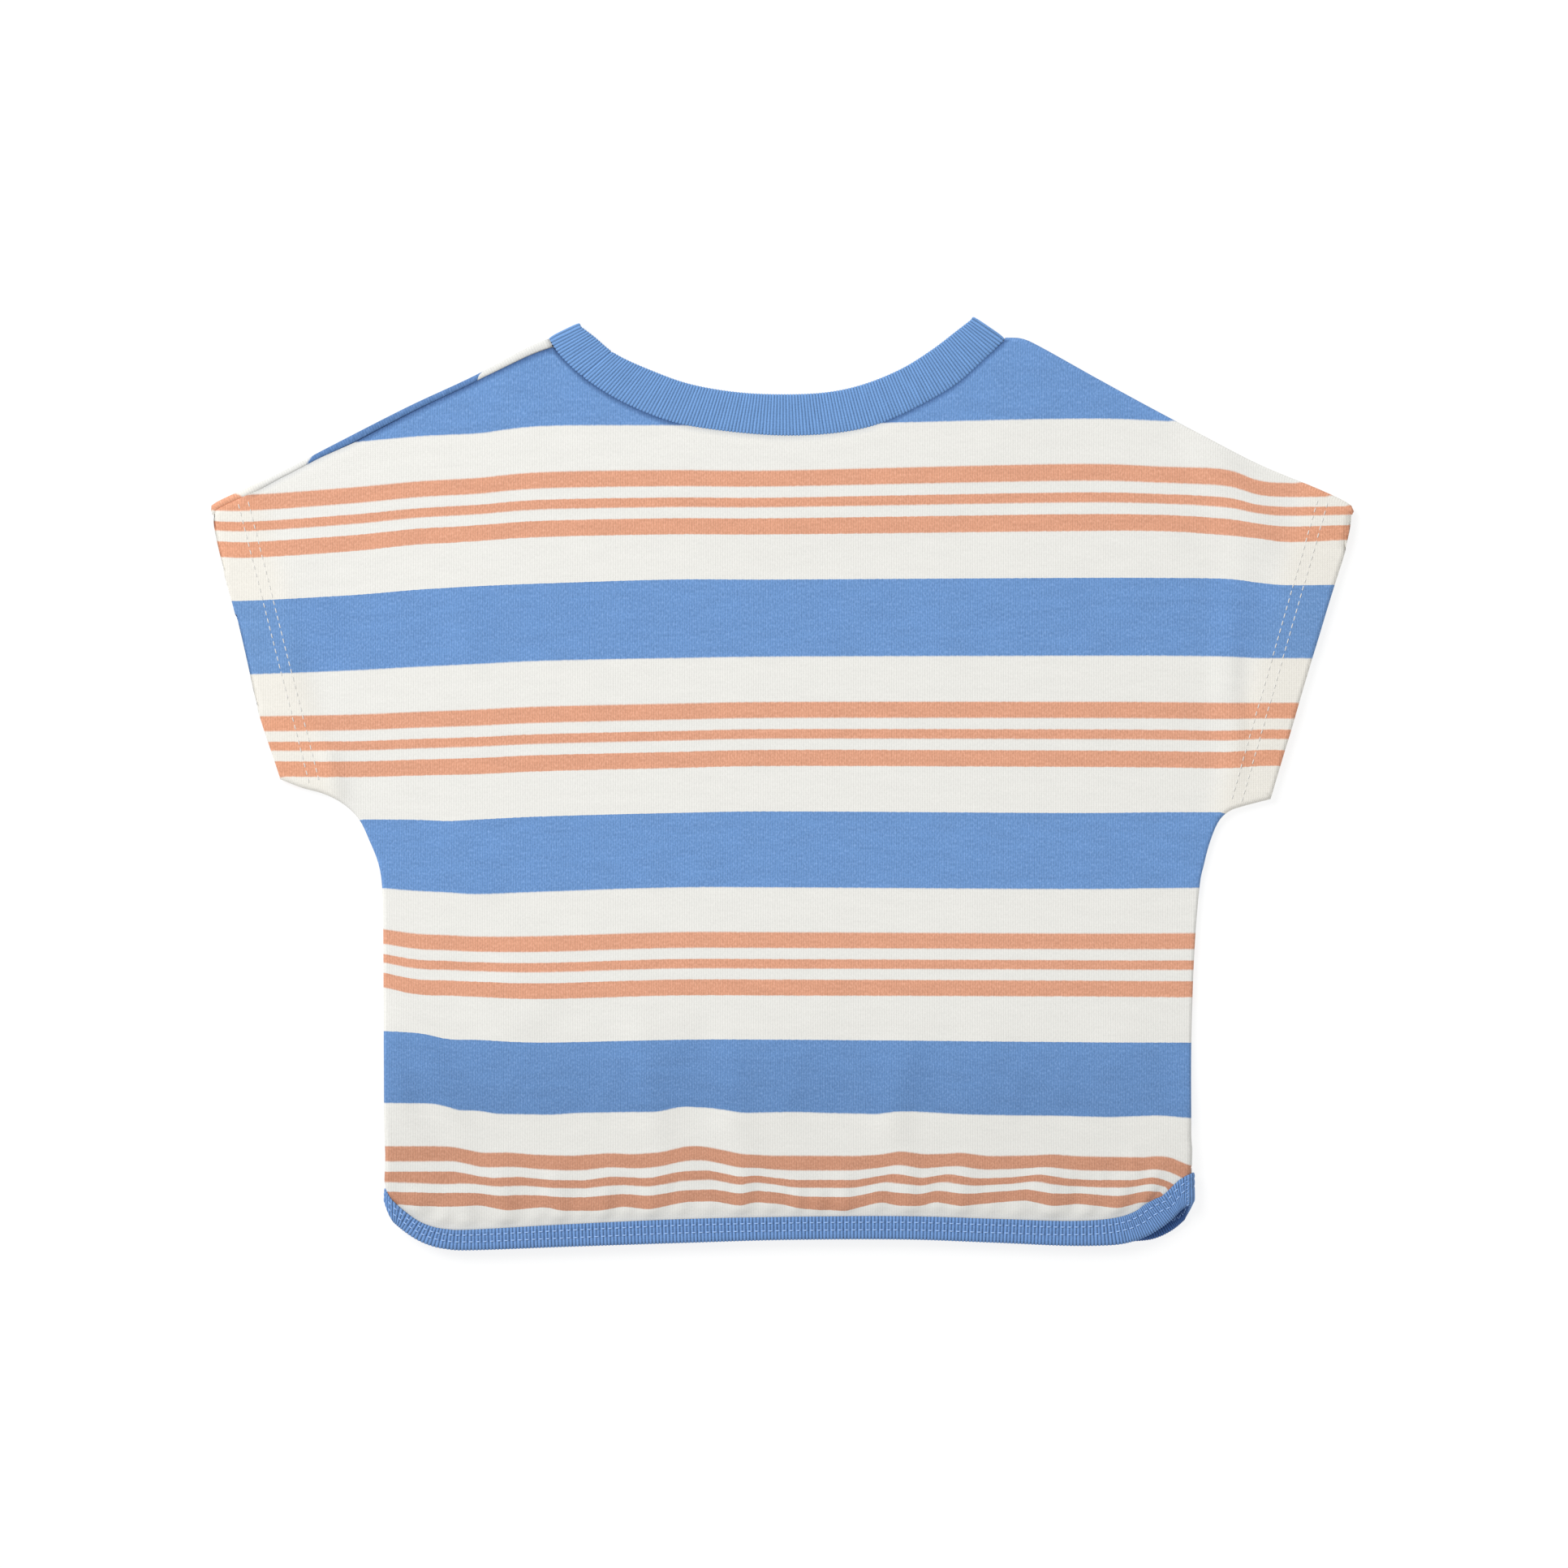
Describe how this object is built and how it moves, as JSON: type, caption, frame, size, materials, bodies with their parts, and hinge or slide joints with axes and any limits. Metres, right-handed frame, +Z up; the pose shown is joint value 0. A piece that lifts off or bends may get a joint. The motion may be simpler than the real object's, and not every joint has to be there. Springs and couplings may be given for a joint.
{
  "type": "t-shirt",
  "caption": "Boxy short-sleeved toddler T-shirt in striped jersey, laid flat with its back up, with a rib neckband and a rib-bound curved hem.",
  "frame": {"origin": "centre of the laid-out shirt's outline, on the surface it lies on", "axes": "+Y towards the neck, +Z up out of the back of the shirt, +X across the sleeves towards the wearer's right"},
  "size_m": [0.4367, 0.3566, 0.0075],
  "materials": {
    "striped_jersey": "matt cotton jersey, cream with blue and orange-tan stripes",
    "blue_rib": "matt cotton rib knit, mid blue"
  },
  "bodies": {
    "root": {"front_panel": "striped_jersey", "back_panel": "striped_jersey", "neckband": "blue_rib", "hem_binding": "blue_rib"}
  },
  "joints": []
}
